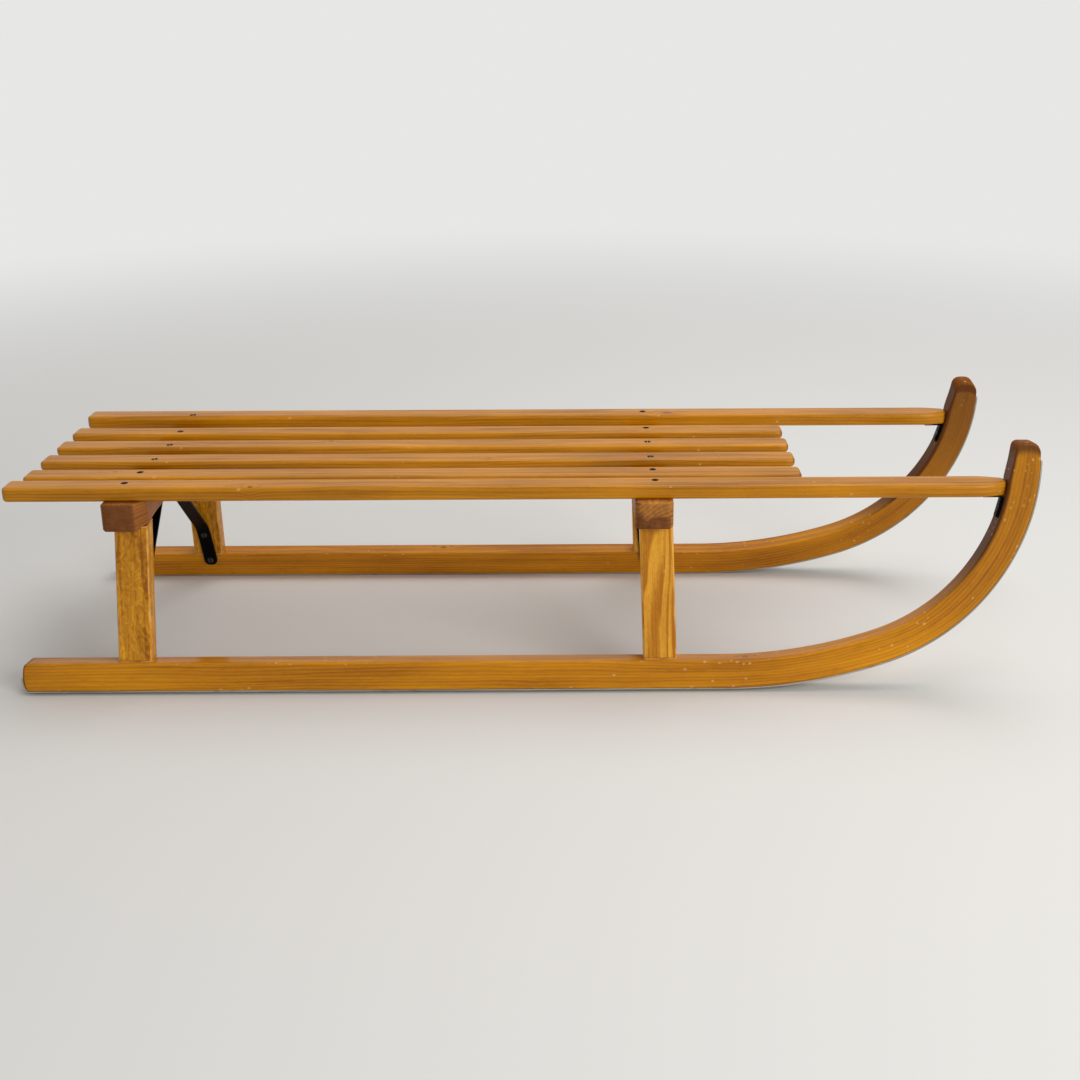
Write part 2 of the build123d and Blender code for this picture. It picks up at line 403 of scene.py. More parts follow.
# The back of a horn under a slat's nose gets a painted shadow of the slat.
BACK_RANGE, BACK_CLIMB, BACK_SHADOW, MOST_STAIN_AND_SHADOW = (0.0005, 0.004), (0.1, 0.6), 0.7, 0.92
END_RANGE, EDGE_RANGE, SOLE_RANGE = (0.0006, 0.0034), (0.0, 0.0035), (0.0, 0.006)
WEAR_AND_HIGHLIGHT_RANGE, WEAR_AND_HIGHLIGHT_SHARE = (0.86, 1.12), 0.75
SPECKS, SPECK_STRETCH, SPECK_DRIFT, SPECK_RAGGED = 175.0, (0.75, 1.0, 1.0), 0.006, 0.35
CHIP_CHANCE, EDGE_CHANCE, CLIMB_CHANCE, SOLE_CHANCE = (0.56, 0.9), 0.1, 0.34, 0.16
CHIP_RIM, CHIP_RARE, CHIP_ROUGH, CHIP_BARE = (0.1, 0.3), 0.06, (0.3, 0.6, 0.45, 1.0), 0.8
SAWN_END, ROUGH_END, END_MIDDLE = 1.5, 1.3, 0.9
RAW_END, VARNISH_WANDER, VARNISH_RANGE, VARNISHED = 0.85, 0.02, (-0.003, 0.001), 0.75
FIBRE_RELIEF, STREAK_RELIEF, PORE_RELIEF, END_RELIEF, BARE_RELIEF = 0.22, 0.12, 0.5, 1.8, 0.3
BASE_ROUGHNESS, PATCH_ROUGHNESS, BARE_ROUGHNESS, STAIN_AND_SHADOW_DULLING = 0.42, 0.22, 0.3, 0.6
WOOD_RELIEF = {"Strength": 0.5, "Distance": 0.35 * MM}
WOOD_FINISH = {"Specular IOR Level": 0.06, "Coat Roughness": 0.13, "Coat IOR": 1.45}
SCREEN_KNEE, SCREEN_SLOPE, SCREEN_LIFT, SCREEN_POWER = 0.04045, 12.92, 0.055, 2.4
MIX_FIRST, MIX_SECOND, MIX_RESULT = 6, 7, 2


def paint(colour):
    """A colour as it looks on a screen, from 0 to 255, turned into the linear light of a shader."""
    shares = [part / 255 for part in colour]
    return tuple(share / SCREEN_SLOPE if share <= SCREEN_KNEE
                 else ((share + SCREEN_LIFT) / (1 + SCREEN_LIFT)) ** SCREEN_POWER for share in shares)


def stored(tree, name):
    """A vector that the pieces keep on their points."""
    return Sum(node(tree, "ShaderNodeAttribute", attribute_name=name).outputs["Vector"], VECTOR)


def noise_node(place, stretch, detail=2.0, curl=0.0):
    """Soft noise with so many blotches in a metre along each axis."""
    return node(place.tree, "ShaderNodeTexNoise", {
        "Vector": place * stretch, "Scale": 1.0, "Detail": detail, "Distortion": curl})


def noise(*values):
    """Soft noise from 0 to 1."""
    return Sum(noise_node(*values).outputs[0])


def mixed(share, first, second):
    """Two colours mixed by a share."""
    made = node(share.tree, "ShaderNodeMix", {0: share, MIX_FIRST: first, MIX_SECOND: second},
                data_type="RGBA")
    return made.outputs[MIX_RESULT]


def build_wood_group():
    """Varnished planed wood: growth rings round the heart, pores, rough end grain, chips and wear.
    Edges also get a painted highlight, and the back of a horn a painted shadow under its slat.
    """
    tree, given, exit_node = empty_tree("varnished_wood", "ShaderNodeTree", {
        "Color": ["Pale", "Dark", "Bare", "End Grain"],
        "Float": ["Rings", "Ring Contrast", "Pore Contrast", "Mottle", "Edge Wear And Highlight", "Chips", "Horn Stain And Shadow",
                  "End Varnish", "Gloss"],
    }, {"Color": ["Base Color"], "Float": ["Roughness", "Coat Weight", "Height"]})
    bench, half, heart = [stored(tree, name) for name in ("bench", "half_size", "heart")]
    knot_x, knot_y, knot_radius = stored(tree, "knot").parts()
    bench_x, bench_y, bench_z = bench.parts()
    knot_gap = joined(tree, (bench_x - knot_x) * KNOT_STRETCH, bench_y - knot_y, 0.0).length() / knot_radius
    knot = falling(knot_gap, *KNOT_CORE)
    swirl = falling(knot_gap, *KNOT_SWIRL) * SWIRL_PUSH
    grown = bench + heart
    drift = Sum(noise_node(grown, DRIFT, DRIFT_DETAIL).outputs["Color"], VECTOR)
    swayed = grown + (drift - 0.5) * SWAY + joined(tree, 0.0, swirl, swirl)
    rings = node(tree, "ShaderNodeTexWave",
                 {"Vector": swayed, "Scale": given["Rings"], "Distortion": 0.0},
                 wave_type="RINGS", rings_direction="X", wave_profile="SAW")
    ring = Sum(rings.outputs["Fac"])
    late = remap(ring, LATE_START, LATE_END, smooth=True) - remap(ring, LATE_END, 1.0, smooth=True)
    streaks, fibres, patches, mottle, flecks, pores = [noise(grown, *kind) for kind in FIGURE.values()]
    rough, sawn, chipped = [noise(bench, *kind) for kind in SURFACE.values()]
    pores = remap(pores, *PORE_RANGE) * (1.0 - late * LATE_PORES)
    tone = (late * (streaks + RING_FLOOR) * given["Ring Contrast"] + (streaks - 0.5) * STREAK_TONE
            + (fibres - 0.5) * FIBRE_TONE + (patches - 0.5) * PATCH_TONE
            + (noise(heart, BOARD_GRAIN) - 0.5) * BOARD_TONE + pores * given["Pore Contrast"]
            + (mottle * MOTTLE_TONE + flecks * FLECK_TONE - MOTTLE_MIDDLE) * given["Mottle"]
            + knot * KNOT_TONE + BASE_TONE)
    colour = mixed(tone.between(0.0, 1.0), given["Pale"], given["Dark"])

    half_x, half_y, half_z = half.parts()
    from_tip = half_x - bench_x
    climb = falling(from_tip + (patches - 0.5) * CLIMB_WANDER, 0.0, CLIMB_REACH)
    crown = falling(from_tip + (patches - 0.5) * CROWN_WANDER, *CROWN_RANGE)
    # Painted shadow: the back face of the horn, shaded by the slat's nose, is darkened towards the End
    # Grain colour.
    back = falling(half_z - bench_z, *BACK_RANGE) * remap(climb, *BACK_CLIMB)
    # The horns darken by a real stain that climbs them and at their crowns, and by the painted shadow on
    # their backs.
    stain_and_shadow = (climb * CLIMB_STAIN + crown * CROWN_STAIN + back * BACK_SHADOW) * given["Horn Stain And Shadow"]
    colour = mixed(stain_and_shadow.between(0.0, MOST_STAIN_AND_SHADOW), colour, given["End Grain"])

    gap_x, gap_y, gap_z = (half - bench.do("ABSOLUTE")).parts()
    low, high = gap_y.do("MINIMUM", gap_z), gap_y.do("MAXIMUM", gap_z)
    edge = falling(low.do("MAXIMUM", high.do("MINIMUM", gap_x)), *EDGE_RANGE)
    # Eased edges are painted paler: partly real wear, partly a painted highlight along the edge.
    worn_and_highlit = remap(edge * given["Edge Wear And Highlight"] + rough, *WEAR_AND_HIGHLIGHT_RANGE)
    spots = node(tree, "ShaderNodeTexVoronoi", {
        "Vector": bench * SPECK_STRETCH + (drift - 0.5) * SPECK_DRIFT, "Scale": SPECKS, "Randomness": 1.0})
    spot_size = Sum(node(tree, "ShaderNodeSeparateColor", {0: spots.outputs["Color"]}).outputs[0])
    near_spot = Sum(spots.outputs["Distance"]) + (rough - 0.5) * SPECK_RAGGED
    chance = (remap(chipped + edge * EDGE_CHANCE, *CHIP_CHANCE) + climb * CLIMB_CHANCE
              + remap(half_z + bench_z, *SOLE_RANGE, 1.0, 0.0) * SOLE_CHANCE) * given["Chips"]
    chip = (remap(near_spot, *CHIP_RIM, 1.0, 0.0) * remap(spot_size - 1.0 + chance, 0.0, CHIP_RARE)
            * remap(rough, *CHIP_ROUGH))
    bare_and_highlight = (worn_and_highlit * WEAR_AND_HIGHLIGHT_SHARE).do("MAXIMUM", chip * CHIP_BARE)

    varnished = remap(bench_z + (rough - 0.5) * VARNISH_WANDER, *VARNISH_RANGE) * given["End Varnish"]
    raw_end = falling(gap_x, *END_RANGE) * (RAW_END - varnished * VARNISHED)
    end_tone = (sawn * SAWN_END + rough * ROUGH_END - END_MIDDLE).between(0.0, 1.0)
    colour = mixed(raw_end, colour, mixed(end_tone, given["End Grain"], given["Dark"]))
    unvarnished = bare_and_highlight.do("MAXIMUM", raw_end)
    feed(exit_node, {
        # Bare wood on chips and worn spots, and the painted edge highlight, take the pale Bare colour.
        "Base Color": mixed(bare_and_highlight, colour, given["Bare"]),
        "Roughness": BASE_ROUGHNESS + (patches - 0.5) * PATCH_ROUGHNESS + unvarnished * BARE_ROUGHNESS,
        "Coat Weight": (1.0 - unvarnished.do("MAXIMUM", stain_and_shadow * STAIN_AND_SHADOW_DULLING)) * given["Gloss"],
        "Height": (fibres * FIBRE_RELIEF + streaks * STREAK_RELIEF - pores * PORE_RELIEF
                   + (rough + sawn - 1.0) * raw_end * END_RELIEF - bare_and_highlight * BARE_RELIEF),
    })
    return tree


wood_group = build_wood_group()


def finished_material(name, group, values, relief, finish):
    """A material whose look comes from a group, with its own colours, relief and finish."""
    values = {label: paint(value) if isinstance(value, tuple) else value
              for label, value in values.items()}
    material, shader = empty_material(name, next(iter(values.values())))
    tree = material.node_tree
    values = {label: (*value, 1) if isinstance(value, tuple) else value
              for label, value in values.items()}
    made = node(tree, "ShaderNodeGroup", node_tree=group)
    feed(made, values)
    look = {socket.name: socket for socket in made.outputs}
    bump = node(tree, "ShaderNodeBump", {**relief, "Height": look.pop("Height")})
    feed(shader, {**look, "Normal": bump.outputs[0], **finish})
    return material


def wood_material(name, values):
    """A varnished wood with its own colours and figure."""
    return finished_material(name, wood_group, values, WOOD_RELIEF, WOOD_FINISH)


# The runners. Each is one long ash bar, planed square with eased edges, steamed and bent up at the
# front in a slow bend and then a tight one, and left standing as a horn. Both lean inwards.
LEAN = math.radians(8)
TRACK_WIDTH = 340 * MM
RUNNER_WIDTH = 23.5 * MM
RUNNER_DEPTH = 31.5 * MM
SHOE_WIDTH = 21 * MM
SHOE_THICKNESS = 2 * MM
RUNNER_TOP = SHOE_THICKNESS + RUNNER_DEPTH
FIRST_BEND_RADIUS = 550 * MM
FIRST_BEND_ANGLE = math.radians(18.6)
SECOND_BEND_RADIUS = 233.5 * MM
HORN_ABOVE_BEND = 21 * MM
HORN_TAPER = 5 * MM
HORN_TAPER_LENGTH = 40 * MM
HORN_ROUNDS = {"right": (12 * MM, 7 * MM), "left": (14 * MM, 10 * MM)}
TAIL_TOP_ROUND = 13 * MM
TAIL_TOP_DEPTH = 5 * MM
TAIL_TURN_RADIUS = 17 * MM
TAIL_TURN_DEPTH = 7 * MM
RUNNER_EDGE_ROUND = 2.5 * MM
END_SHAPING = 34 * MM
RUNNER_CUTS = {"Cuts Along": 150, "Cuts Across": 8, "Round Steps": 3}
RUNNER_VALUES = {
    "Pale": (222, 148, 6), "Dark": (150, 86, 2), "Bare": (230, 186, 130), "End Grain": (84, 44, 20),
    "Rings": 88.0, "Ring Contrast": 0.34, "Pore Contrast": 0.45, "Mottle": 0.05, "Edge Wear And Highlight": 0.3,
    "Chips": 1.0, "Horn Stain And Shadow": 1.0, "Gloss": 0.38,
}
RUNNER_WOODS = {
    "right": wood_material("runner_ash", RUNNER_VALUES),
    "left": wood_material("runner_ash_dark_horn", {**RUNNER_VALUES, "Chips": 0.5, "Horn Stain And Shadow": 1.8}),
}
RUNNER_HEARTS = {"right": (0.4, -0.03, 0.11), "left": (0.4, 0.03, 0.11)}
RUNNER_KNOTS = {"right": (0.16, 0.0, 3 * MM), "left": (-0.2, 0.003, 3 * MM)}
SIDES = {"right": -1, "left": 1}


def build_bend_tree():
    """A bar with four rounded end corners, bent like a runner, in the plane of its side."""
    tree, given, exit_node = piece_tree("bent_bar", [
        "Rise", "Straight", "First Radius", "First Angle", "Second Radius", "Tail Radius", "Tail Turn",
        "Tail Turn Depth", "Tail Top Round", "Tail Top Depth", "Tail Bottom Round", "Tail Bottom Depth",
        "Horn Front Round", "Horn Back Round", "Horn Taper", "Horn Taper Length",
    ])
    bar = add_bar(tree, given)
    length, width, depth = given["Size"].parts()
    x, y, z = position(tree).parts()
    from_top, from_sole = depth / 2 - z, depth / 2 + z
    top_round, bottom_round = given["Tail Top Round"], given["Tail Bottom Round"]
    tail_cut = (corner_cut(from_top, top_round) / top_round * given["Tail Top Depth"]
                + corner_cut(from_sole, bottom_round) / bottom_round * given["Tail Bottom Depth"])
    horn_cut = (corner_cut(from_sole, given["Horn Front Round"])
                + corner_cut(from_top, given["Horn Back Round"]))
    along = x + length / 2
    along = (along + tail_cut * falling(along, 0.0, END_SHAPING)
             - horn_cut * falling(length - along, 0.0, END_SHAPING))
    tail_radius, tail_turn = given["Tail Radius"], given["Tail Turn"]
    along = along - tail_radius * tail_turn
    from_tip = length - (x + length / 2)
    shaved = remap(from_tip, 0.0, given["Horn Taper Length"], given["Horn Taper"], 0.0)
    height = from_sole * (1.0 - shaved / depth) + given["Rise"]
    first_radius, second_radius = given["First Radius"], given["Second Radius"]
    first_angle = given["First Angle"]
    second_angle = QUARTER_TURN - first_angle
    past_first = along - given["Straight"] - first_radius * first_angle
    tail_angle = (-along / tail_radius).between(0.0, tail_turn)
    first = ((along - given["Straight"]) / first_radius).between(0.0, first_angle)
    turn = first + (past_first / second_radius).between(0.0, second_angle)
    up_horn = (past_first - second_radius * second_angle).do("MAXIMUM", 0.0)
    plane_x = (along.between(0.0, given["Straight"]) + first_radius * first.do("SINE")
               + second_radius * (turn.do("SINE") - first.do("SINE")) - height * turn.do("SINE")
               - (given["Tail Turn Depth"] - height) * tail_angle.do("SINE"))
    plane_y = (first_radius * (1.0 - first.do("COSINE"))
               + second_radius * (first.do("COSINE") - turn.do("COSINE"))
               + up_horn + height * turn.do("COSINE")
               + (tail_radius - height) * (1.0 - tail_angle.do("COSINE")))
    return finish_piece(given, exit_node, bar, joined(tree, plane_x, plane_y, -y))


def side_frame(side):
    """A leaning side of the sled: X forward, Y up the lean, Z across. The side is -1 right, 1 left."""
    lift = (RUNNER_WIDTH + SHOE_WIDTH) / 2 * math.sin(LEAN)
    lean = Matrix.Rotation(QUARTER_TURN + side * LEAN, 4, "X")
    return Matrix.Translation((0, side * TRACK_WIDTH / 2, lift)) @ lean


bend_tree = build_bend_tree()
runner_low, runner_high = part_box("runner_right")
second_centre_x = runner_high.x + SHOE_THICKNESS - SECOND_BEND_RADIUS
bend_x = second_centre_x - (FIRST_BEND_RADIUS - SECOND_BEND_RADIUS) * math.sin(FIRST_BEND_ANGLE)
bend_length = (FIRST_BEND_RADIUS * FIRST_BEND_ANGLE
               + SECOND_BEND_RADIUS * (QUARTER_TURN - FIRST_BEND_ANGLE))
bends = {
    "First Radius": FIRST_BEND_RADIUS, "First Angle": FIRST_BEND_ANGLE,
    "Second Radius": SECOND_BEND_RADIUS, "Horn Taper Length": HORN_TAPER_LENGTH,
}
runner_straight = bend_x - runner_low.x
runner_length = runner_straight + bend_length + HORN_ABOVE_BEND
for name, side in SIDES.items():
    across = Matrix.Translation((runner_low.x, 0, side * RUNNER_WIDTH / 2))
    runner = made_by(bend_tree, "runner_" + name, {
        **bends, **RUNNER_CUTS, "Size": (runner_length, RUNNER_WIDTH, RUNNER_DEPTH),
        "Edge Round": (RUNNER_EDGE_ROUND,) * 3, "Heart": RUNNER_HEARTS[name],
        "Knot": RUNNER_KNOTS[name], "Rise": SHOE_THICKNESS, "Straight": runner_straight,
        "Tail Top Round": TAIL_TOP_ROUND, "Tail Top Depth": TAIL_TOP_DEPTH,
        "Tail Bottom Round": TAIL_TURN_RADIUS - SHOE_THICKNESS,
        "Tail Bottom Depth": TAIL_TURN_DEPTH - SHOE_THICKNESS,
        "Horn Front Round": HORN_ROUNDS[name][0], "Horn Back Round": HORN_ROUNDS[name][1],
        "Horn Taper": HORN_TAPER, "Material": RUNNER_WOODS[name],
    }, side_frame(side) @ across)
    dress(runner, "runner_wood", "runner_" + name)

# The shoes. A flat steel strip runs under each runner from its tail, where it turns up round the
# end, to the middle of the horn, and is held from below by countersunk screws.
SHOE_EDGE_ROUND = 0.6 * MM
SHOE_ABOVE_BEND = 2 * MM
SHOE_CUTS = {"Cuts Along": 190, "Cuts Across": 3, "Round Steps": 2}
SCRATCHES, SCRATCH_RANGE = ((9.0, 1500.0, 1500.0), 3.0), (0.35, 0.65)
BLOTCHES, RUST_RANGE = ((40.0, 40.0, 40.0), 5.0), (0.95, 1.15)
STEEL_ROUGHNESS, SCRATCH_ROUGHNESS, RUST_ROUGHNESS = 0.34, 0.3, 0.4
RUST_COVER, SCRATCH_RELIEF = 0.9, 0.3
STEEL_RELIEF = {"Strength": 0.4, "Distance": 0.2 * MM}


def build_steel_group():
    """Worn steel: scratches along the strip, dull blotches, and rust where nothing rubs it off."""
    tree, given, exit_node = empty_tree("worn_steel", "ShaderNodeTree", {
        "Color": ["Bright", "Dull", "Rust"], "Float": ["Rust Share", "Bare Metal"],
    }, {"Color": ["Base Color"], "Float": ["Roughness", "Metallic", "Height"]})
    place = Sum(node(tree, "ShaderNodeTexCoord").outputs["Object"], VECTOR)
    scratches = noise(stored(tree, "bench"), *SCRATCHES)
    blotches = noise(place, *BLOTCHES)
    rust = remap(blotches + given["Rust Share"], *RUST_RANGE)
    steel = mixed(remap(scratches, *SCRATCH_RANGE), given["Dull"], given["Bright"])
    feed(exit_node, {
        "Base Color": mixed(rust, steel, given["Rust"]),
        "Roughness": STEEL_ROUGHNESS + (scratches - 0.5) * SCRATCH_ROUGHNESS + rust * RUST_ROUGHNESS,
        "Metallic": (1.0 - rust * RUST_COVER) * given["Bare Metal"],
        "Height": scratches * SCRATCH_RELIEF + rust * blotches,
    })
    return tree


steel_group = build_steel_group()


def steel_material(name, values, gloss=0.5):
    """A steel with its own colours and share of rust."""
    return finished_material(name, steel_group, values, STEEL_RELIEF, {"Specular IOR Level": gloss})


shoe_steel = steel_material("shoe_steel", {
    "Bright": (196, 188, 170), "Dull": (130, 124, 110), "Rust": (96, 68, 46), "Rust Share": 0.34,
    "Bare Metal": 0.7,
})
shoe_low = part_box("runner_shoe_right")[0]
flat_start = shoe_low.x + TAIL_TURN_DEPTH
shoe_length = TAIL_TURN_RADIUS * QUARTER_TURN + bend_x - flat_start + bend_length + SHOE_ABOVE_BEND
for name, side in SIDES.items():
    across = Matrix.Translation((flat_start, 0, side * RUNNER_WIDTH / 2))
    shoe = made_by(bend_tree, "runner_shoe_" + name, {
        **bends, **SHOE_CUTS, "Size": (shoe_length, SHOE_WIDTH, SHOE_THICKNESS),
        "Edge Round": (SHOE_EDGE_ROUND,) * 3, "Knot": NO_KNOT, "Straight": bend_x - flat_start,
        "Tail Radius": TAIL_TURN_RADIUS, "Tail Turn": QUARTER_TURN,
        "Tail Turn Depth": TAIL_TURN_DEPTH, "Material": shoe_steel,
    }, side_frame(side) @ across)
    dress(shoe, "shoe_steel", "runner_shoe_" + name)

# The legs. Four flat ash posts with bevelled edges stand on the runners, in line with their inner
# sides. They lean a little apart, and each is sawn off along the arched underside of its beam.
LEG_WIDTH = 36 * MM
LEG_THICKNESS = 19.5 * MM
LEG_BEVEL = 2 * MM
BEAM_ARCH_RISE = 6.2 * MM
BEAM_ARCH_REACH = 60 * MM
# The legs' bevels get a strong edge value: partly wear, partly a painted highlight on the bevels.
LEG_VALUES = {
    "Pale": (250, 184, 60), "Dark": (176, 108, 18), "Bare": (232, 180, 104), "End Grain": (112, 66, 30),
    "Rings": 84.0, "Ring Contrast": 0.75, "Pore Contrast": 0.5, "Mottle": 0.12, "Edge Wear And Highlight": 0.68,
    "Chips": 0.15, "Horn Stain And Shadow": 0.0, "Gloss": 0.3,
}
LEG_WOODS = {
    "front": wood_material("leg_ash", LEG_VALUES),
    "rear": wood_material("leg_ash_mottled", {
        **LEG_VALUES, "Pale": (238, 168, 40), "Dark": (150, 88, 12), "Ring Contrast": 0.35,
        "Mottle": 0.34,
    }),
}
LEG_SPLAY = {"rear": 0.026, "front": -0.032}
LEG_HEARTS = {
    "rear_right": (0.32, 0.02, 0.07), "rear_left": (1.12, -0.02, 0.07),
    "front_right": (-0.1, -0.012, 0.055), "front_left": (0.7, 0.012, 0.055),
}
ENDS = ("rear", "front")


def planed_post(name, size, heart, place, material):
    """A sawn post with its four long edges bevelled, and on its points where they are on the bench."""
    shape = bmesh.new()
    bmesh.ops.create_cube(shape, size=1.0, matrix=Matrix.Diagonal((*size, 1)))
    long_edges = [edge for edge in shape.edges if edge.verts[0].co.x * edge.verts[1].co.x < 0]
    bmesh.ops.bevel(shape, geom=long_edges, offset=LEG_BEVEL, segments=1, profile=0.5, affect="EDGES")
    mesh = bpy.data.meshes.new(name)
    shape.to_mesh(mesh)
    shape.free()
    half = [side / 2 for side in size]
    for label, value in {"bench": None, "half_size": half, "heart": heart, "knot": NO_KNOT}.items():
        attribute = mesh.attributes.new(label, "FLOAT_VECTOR", "POINT")
        attribute.data.foreach_set(
            "vector", [part for vertex in mesh.vertices for part in value or vertex.co])
    mesh.polygons.foreach_set("use_smooth", [True] * len(mesh.polygons))
    mesh.set_sharp_from_angle(angle=SHARP_ANGLE)
    mesh.materials.append(material)
    mesh.transform(place)
    return placed(name, mesh)


def beam_underside(end, across):
    """The height of a beam's arched underside at a distance to the side of the sled's middle."""
    low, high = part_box(end + "_beam")
    inwards = min((high.y - abs(across)) / BEAM_ARCH_REACH, 1)
    return low.z + BEAM_ARCH_RISE * (1 - (1 - inwards) ** 2)


def cut_to_beam(piece, along, end):
    """Saws the upper end of a leaning leg to the underside of the beam that it carries."""
    bench = piece.data.attributes["bench"].data
    for vertex in piece.data.vertices:
        if bench[vertex.index].vector.x > 0:
            vertex.co += along * (beam_underside(end, vertex.co.y) - vertex.co.z) / along.z


upright = Matrix.Rotation(QUARTER_TURN, 4, "Z")
for end in ENDS:
    leg_low, leg_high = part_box(end + "_leg_right")
    beam_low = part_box(end + "_beam")[0]
    splay = Matrix.Identity(4)
    splay[0][1] = LEG_SPLAY[end]
    for side_name, side in SIDES.items():
        name = f"{end}_leg_{side_name}"
        turn = side_frame(side)
        foot = turn @ Vector((0, RUNNER_TOP, side * (RUNNER_WIDTH - LEG_THICKNESS)))
        leg_height = (beam_low.z - foot.z) / math.cos(LEAN)
        stand = Matrix.Translation(((leg_low.x + leg_high.x) / 2, RUNNER_TOP + leg_height / 2,
                                    side * (RUNNER_WIDTH - LEG_THICKNESS / 2)))
        leg = planed_post(name, (leg_height, LEG_WIDTH, LEG_THICKNESS),
                          LEG_HEARTS[f"{end}_{side_name}"], turn @ stand @ splay @ upright,
                          LEG_WOODS[end])
        cut_to_beam(leg, turn.to_3x3() @ Vector((LEG_SPLAY[end], 1, 0)), end)
        dress(leg, "leg_wood", name)

# The beams. One stout block lies across each pair of legs and carries the slats. Its ends stick
# out past them and are rough end grain. Its front is planed flush with the legs, and its front
# corners are cut back by so much over so much of its length.
BEAM_END_BEVEL = 4 * MM
BEAM_EDGE_ROUND = 1.5 * MM
BEAM_FRONT_GROWTH = {"rear": 5.2 * MM, "front": 1.2 * MM}
BEAM_FRONT_CUT = {"rear": (11 * MM, 17 * MM), "front": (5 * MM, 5 * MM)}
BEAM_HEART = (0.2, 0.02, 0.03)
BEAM_CUTS = {"Cuts Along": 90, "Cuts Across": 6, "Round Steps": 3}
BEAM_VALUES = {
    "Pale": (176, 112, 50), "Dark": (126, 76, 40), "Bare": (170, 118, 74), "End Grain": (94, 54, 32),
    "Rings": 70.0, "Ring Contrast": 0.4, "Pore Contrast": 0.4, "Mottle": 0.1, "Edge Wear And Highlight": 0.3,
    "Chips": 0.1, "Horn Stain And Shadow": 0.0, "Gloss": 0.08,
}
BEAM_WOODS = {
    "rear": wood_material("beam_beech", BEAM_VALUES),
    "front": wood_material("beam_beech_half_varnished", {
        **BEAM_VALUES, "Pale": (204, 138, 62), "End Grain": (76, 44, 28), "End Varnish": 1.0}),
}


def build_beam_tree():
    """A block across the sled with its upright corners cut off and its underside arched."""
    tree, given, exit_node = piece_tree("beam", [
        "Front Cut", "Front Cut Length", "Rear Cut", "Arch Rise", "Arch Reach"], vectors=["Middle"])
    turned = node(tree, "GeometryNodeFlipFaces", {"Mesh": add_bar(tree, given)})
    x, y, z = position(tree).parts()
    length, width, depth = given["Size"].parts()
    half_width = width / 2
    from_end = length / 2 - x.do("ABSOLUTE")
    front_cut = remap(from_end, 0.0, given["Front Cut Length"], given["Front Cut"], 0.0)
    rear_cut = remap(from_end, 0.0, given["Rear Cut"], given["Rear Cut"], 0.0)
    forward = remap(y, -half_width, half_width, half_width - front_cut, rear_cut - half_width)
    short_of_full = 1.0 - (from_end / given["Arch Reach"]).between(0.0, 1.0)
    rise = (1.0 - short_of_full * short_of_full) * given["Arch Rise"]
    raised = z + rise * (depth / 2 - z) / depth
    return finish_piece(given, exit_node, turned.outputs[0],
                        joined(tree, forward, x, raised) + given["Middle"])


beam_tree = build_beam_tree()
for end in ENDS:
    low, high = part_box(end + "_beam")
    high.x += BEAM_FRONT_GROWTH[end]
    size = high - low
    beam = made_by(beam_tree, end + "_beam", {
        **BEAM_CUTS, "Size": (size.y, size.x, size.z), "Edge Round": (BEAM_EDGE_ROUND,) * 3,
        "Heart": BEAM_HEART, "Knot": NO_KNOT, "Middle": tuple((low + high) / 2),
        "Front Cut": BEAM_FRONT_CUT[end][0], "Front Cut Length": BEAM_FRONT_CUT[end][1],
        "Rear Cut": BEAM_END_BEVEL, "Arch Rise": BEAM_ARCH_RISE, "Arch Reach": BEAM_ARCH_REACH,
        "Material": BEAM_WOODS[end],
    })
    dress(beam, "beam_wood", end + "_beam")

# The stays. A flat iron, painted black, is bent up from each runner along the leg to the middle of
# the beam and down again, and is screwed to the wood. It leans back a little as it climbs.
STAY_WIDTH = 16 * MM
STAY_THICKNESS = 3.5 * MM
STAY_EDGE_ROUND = 0.6 * MM
STAY_FOOT_HEIGHT = 20 * MM
STAY_FOOT_ROUND = 7 * MM
STAY_FOOT_AHEAD = 1.5 * MM
STAY_KNEE_HEIGHT = 76 * MM
STAY_KNEE_ROUND = 32 * MM
STAY_CROWN_HALF = 16 * MM
STAY_CROWN_ROUND = 30 * MM
STAY_LEAN_BACK = 6.5 * MM
STAY_LEAN_LEVELS = (12 * MM, 95 * MM)
STAY_CUTS = {"Cuts Along": 160, "Cuts Across": 4, "Round Steps": 2, "Bend Steps": 14}
stay_iron = steel_material("stay_iron", {
    "Bright": (4, 4, 5), "Dull": (1, 1, 2), "Rust": (24, 16, 12), "Rust Share": 0.24,
    "Bare Metal": 0.0,
}, gloss=0.05)


def build_strap_tree():
    """A flat iron with round ends, laid along a bent line, that leans back as it climbs."""
    tree, given, exit_node = piece_tree("bent_strap", [
        "Foot Round", "Place", "Lean Back", "Lean From", "Lean To"], counts=["Bend Steps"])
    rounding = node(tree, "GeometryNodeInputNamedAttribute", {"Name": "bend_round"}, data_type="FLOAT")
    line = bent_line(tree, given, rounding.outputs[0])
    length = Sum(node(tree, "GeometryNodeCurveLength", {"Curve": line}).outputs[0])
    width, thickness = given["Size"].parts()[1:]
    bar = add_bar(tree, {**given, "Size": joined(tree, length, width, thickness)})
    x, y, z = position(tree).parts()
    along = (x + length / 2).between(0.0, length)
    found = node(tree, "GeometryNodeSampleCurve", {"Curves": line, "Length": along}, mode="LENGTH")
    point = Sum(found.outputs["Position"], VECTOR)
    tangent = Sum(found.outputs["Tangent"], VECTOR)
    inwards = tangent.do("CROSS_PRODUCT", (1.0, 0.0, 0.0))
    half_width = width / 2
    from_foot = along.do("MINIMUM", length - along)
    across = y * (half_width - corner_cut(from_foot, given["Foot Round"])) / half_width
    lean = remap(point.parts()[2], given["Lean From"], given["Lean To"], 0.0, given["Lean Back"],
                 smooth=True)
    laid = (point + inwards * (z + thickness / 2)
            + joined(tree, across - lean + given["Place"], 0.0, 0.0))
    return finish_piece(given, exit_node, bar, laid)


